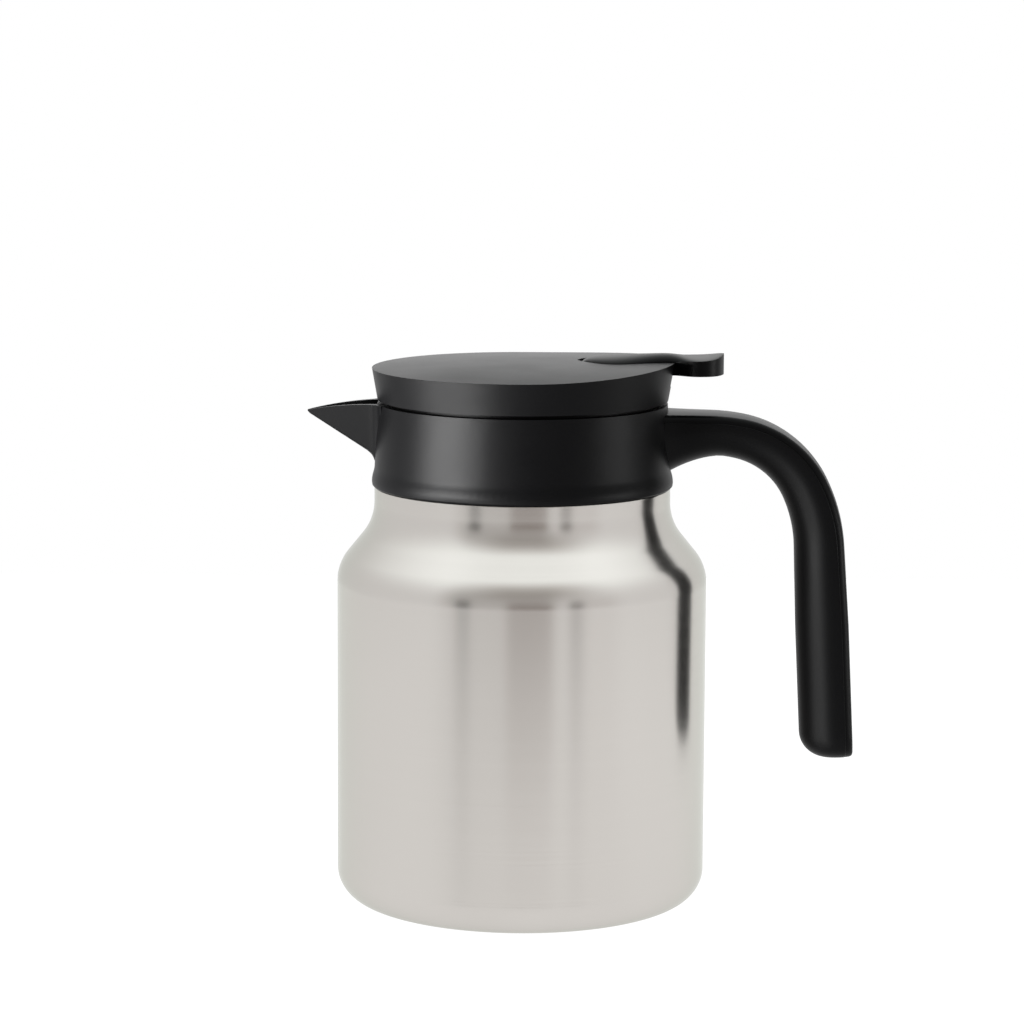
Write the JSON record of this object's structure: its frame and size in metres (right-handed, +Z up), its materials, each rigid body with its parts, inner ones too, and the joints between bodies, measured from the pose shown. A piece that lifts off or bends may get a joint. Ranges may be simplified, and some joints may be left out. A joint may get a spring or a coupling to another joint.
{
  "type": "insulated serving jug",
  "caption": "Brushed-steel insulated jug with a black spout collar, hook handle and a press-in lid with a thumb lever.",
  "frame": {"origin": "centre of the standing ring, on the jug's axis at the table", "axes": "+Z up along the jug's axis, +X towards the handle, so the spout points to -X, +Y to the left of someone who looks along +X"},
  "size_m": [0.1782, 0.12, 0.1794],
  "materials": {
    "steel": "fine circumferential brushing",
    "black_plastic": "satin moulded",
    "seal_rubber": "soft matte silicone",
    "screw_steel": "bright drawn"
  },
  "bodies": {
    "jug_body": {"outer_shell": "steel", "inner_liner": "steel", "base_plate": "steel", "port_plug": "steel", "getter": "steel", "spout_collar": "black_plastic", "mouth_gasket": "seal_rubber", "handle_grip": "black_plastic", "handle_cover": "black_plastic", "handle_screws": "screw_steel"},
    "lid": {"lid_shell": "black_plastic", "lid_floor": "black_plastic", "lid_screws": "screw_steel", "stopper_body": "black_plastic", "stopper_lip_seal": "seal_rubber", "stopper_ring_seal": "seal_rubber", "stem_seal": "seal_rubber", "lever_pin": "screw_steel", "valve_spring": "screw_steel"},
    "lever": {"thumb_lever": "black_plastic"},
    "valve": {"valve_stem": "screw_steel", "valve_disc": "black_plastic", "valve_seal": "seal_rubber", "stem_clip": "screw_steel"}
  },
  "joints": [
    {"name": "lid_lift", "type": "slide", "parent": "jug_body", "child": "lid", "axis": [0, 0, 1], "range_m": [0, 0.045]},
    {"name": "lever_press", "type": "hinge", "parent": "lid", "child": "lever", "pos_m": [0.038, 0, 0.1724], "axis": [0, 1, 0], "range_deg": [0, 10], "stiffness_Nm_per_rad": 0.4, "springref_deg": -7.16},
    {"name": "valve_lift", "type": "slide", "parent": "lid", "child": "valve", "axis": [0, 0, 1], "range_m": [0, 0.0029], "deforming": ["valve_spring"]}
  ],
  "couplings": [
    {"joint": "valve_lift", "follows": "lever_press", "m_per_rad": 0.0165}
  ]
}
